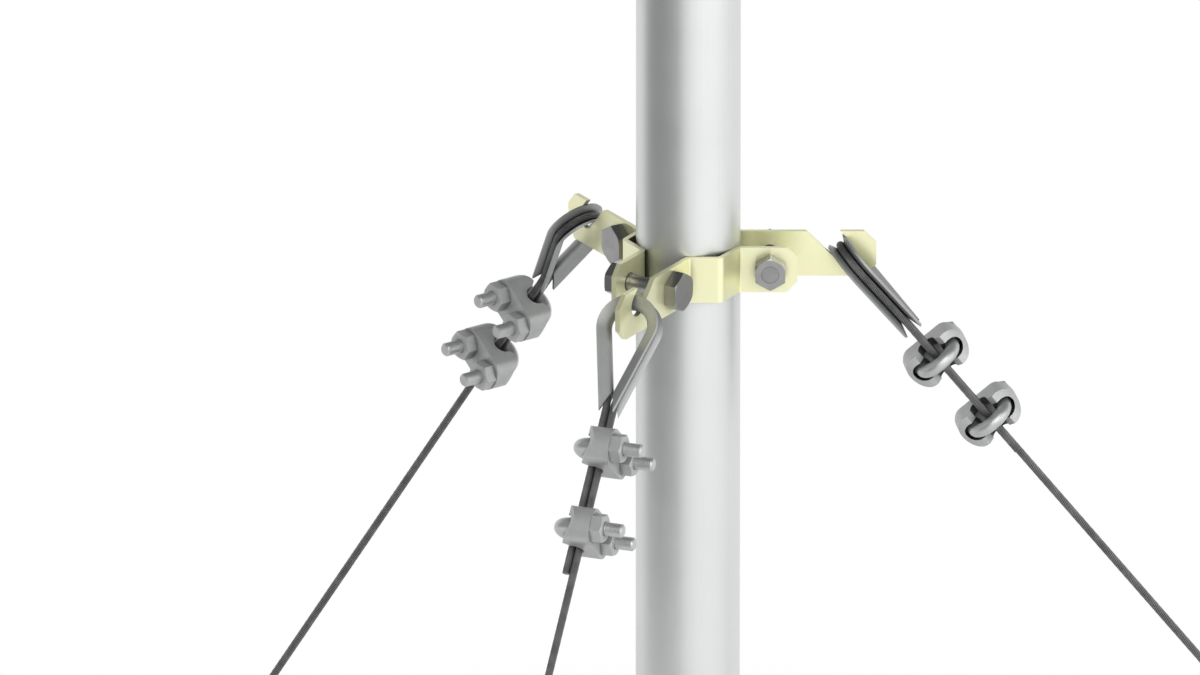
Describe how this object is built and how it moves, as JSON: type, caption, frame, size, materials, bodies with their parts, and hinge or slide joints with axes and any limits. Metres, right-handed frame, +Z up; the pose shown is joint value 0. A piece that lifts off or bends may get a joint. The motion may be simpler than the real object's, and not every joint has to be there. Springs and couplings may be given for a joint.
{
  "type": "guy collar on a tubular mast section",
  "caption": "Tubular mast section with a clamped guy collar and taut wire-rope guys, each with a thimble eye and clips at both ends.",
  "frame": {"origin": "centre of the flat face of the mast tube's foot", "axes": "+Z up the mast; +X in the radial plane of one collar junction"},
  "size_m": [0.8117, 0.8567, 0.69],
  "materials": {
    "tube": "satin",
    "strap": "yellow passivated",
    "clamp_bolt": "dark",
    "rope": "stranded",
    "thimble": "galvanised",
    "clip": "galvanised"
  },
  "bodies": {
    "root": {"mast_tube": "tube", "collar_strap_right": "strap", "clamp_bolt_right": "clamp_bolt", "clamp_nut_right": "clamp_bolt", "collar_strap_back": "strap", "clamp_bolt_back": "clamp_bolt", "clamp_nut_back": "clamp_bolt", "collar_strap_front": "strap", "clamp_bolt_front": "clamp_bolt", "clamp_nut_front": "clamp_bolt", "guy_rope_right": "rope", "head_thimble_right": "thimble", "head_clip_saddles_right": "clip", "head_clip_u_bolts_right": "clip", "head_clip_nuts_right": "clip", "foot_thimble_right": "thimble", "foot_clip_saddles_right": "clip", "foot_clip_u_bolts_right": "clip", "foot_clip_nuts_right": "clip", "guy_rope_back": "rope", "head_thimble_back": "thimble", "head_clip_saddles_back": "clip", "head_clip_u_bolts_back": "clip", "head_clip_nuts_back": "clip", "foot_thimble_back": "thimble", "foot_clip_saddles_back": "clip", "foot_clip_u_bolts_back": "clip", "foot_clip_nuts_back": "clip", "guy_rope_front": "rope", "head_thimble_front": "thimble", "head_clip_saddles_front": "clip", "head_clip_u_bolts_front": "clip", "head_clip_nuts_front": "clip", "foot_thimble_front": "thimble", "foot_clip_saddles_front": "clip", "foot_clip_u_bolts_front": "clip", "foot_clip_nuts_front": "clip"}
  },
  "joints": []
}
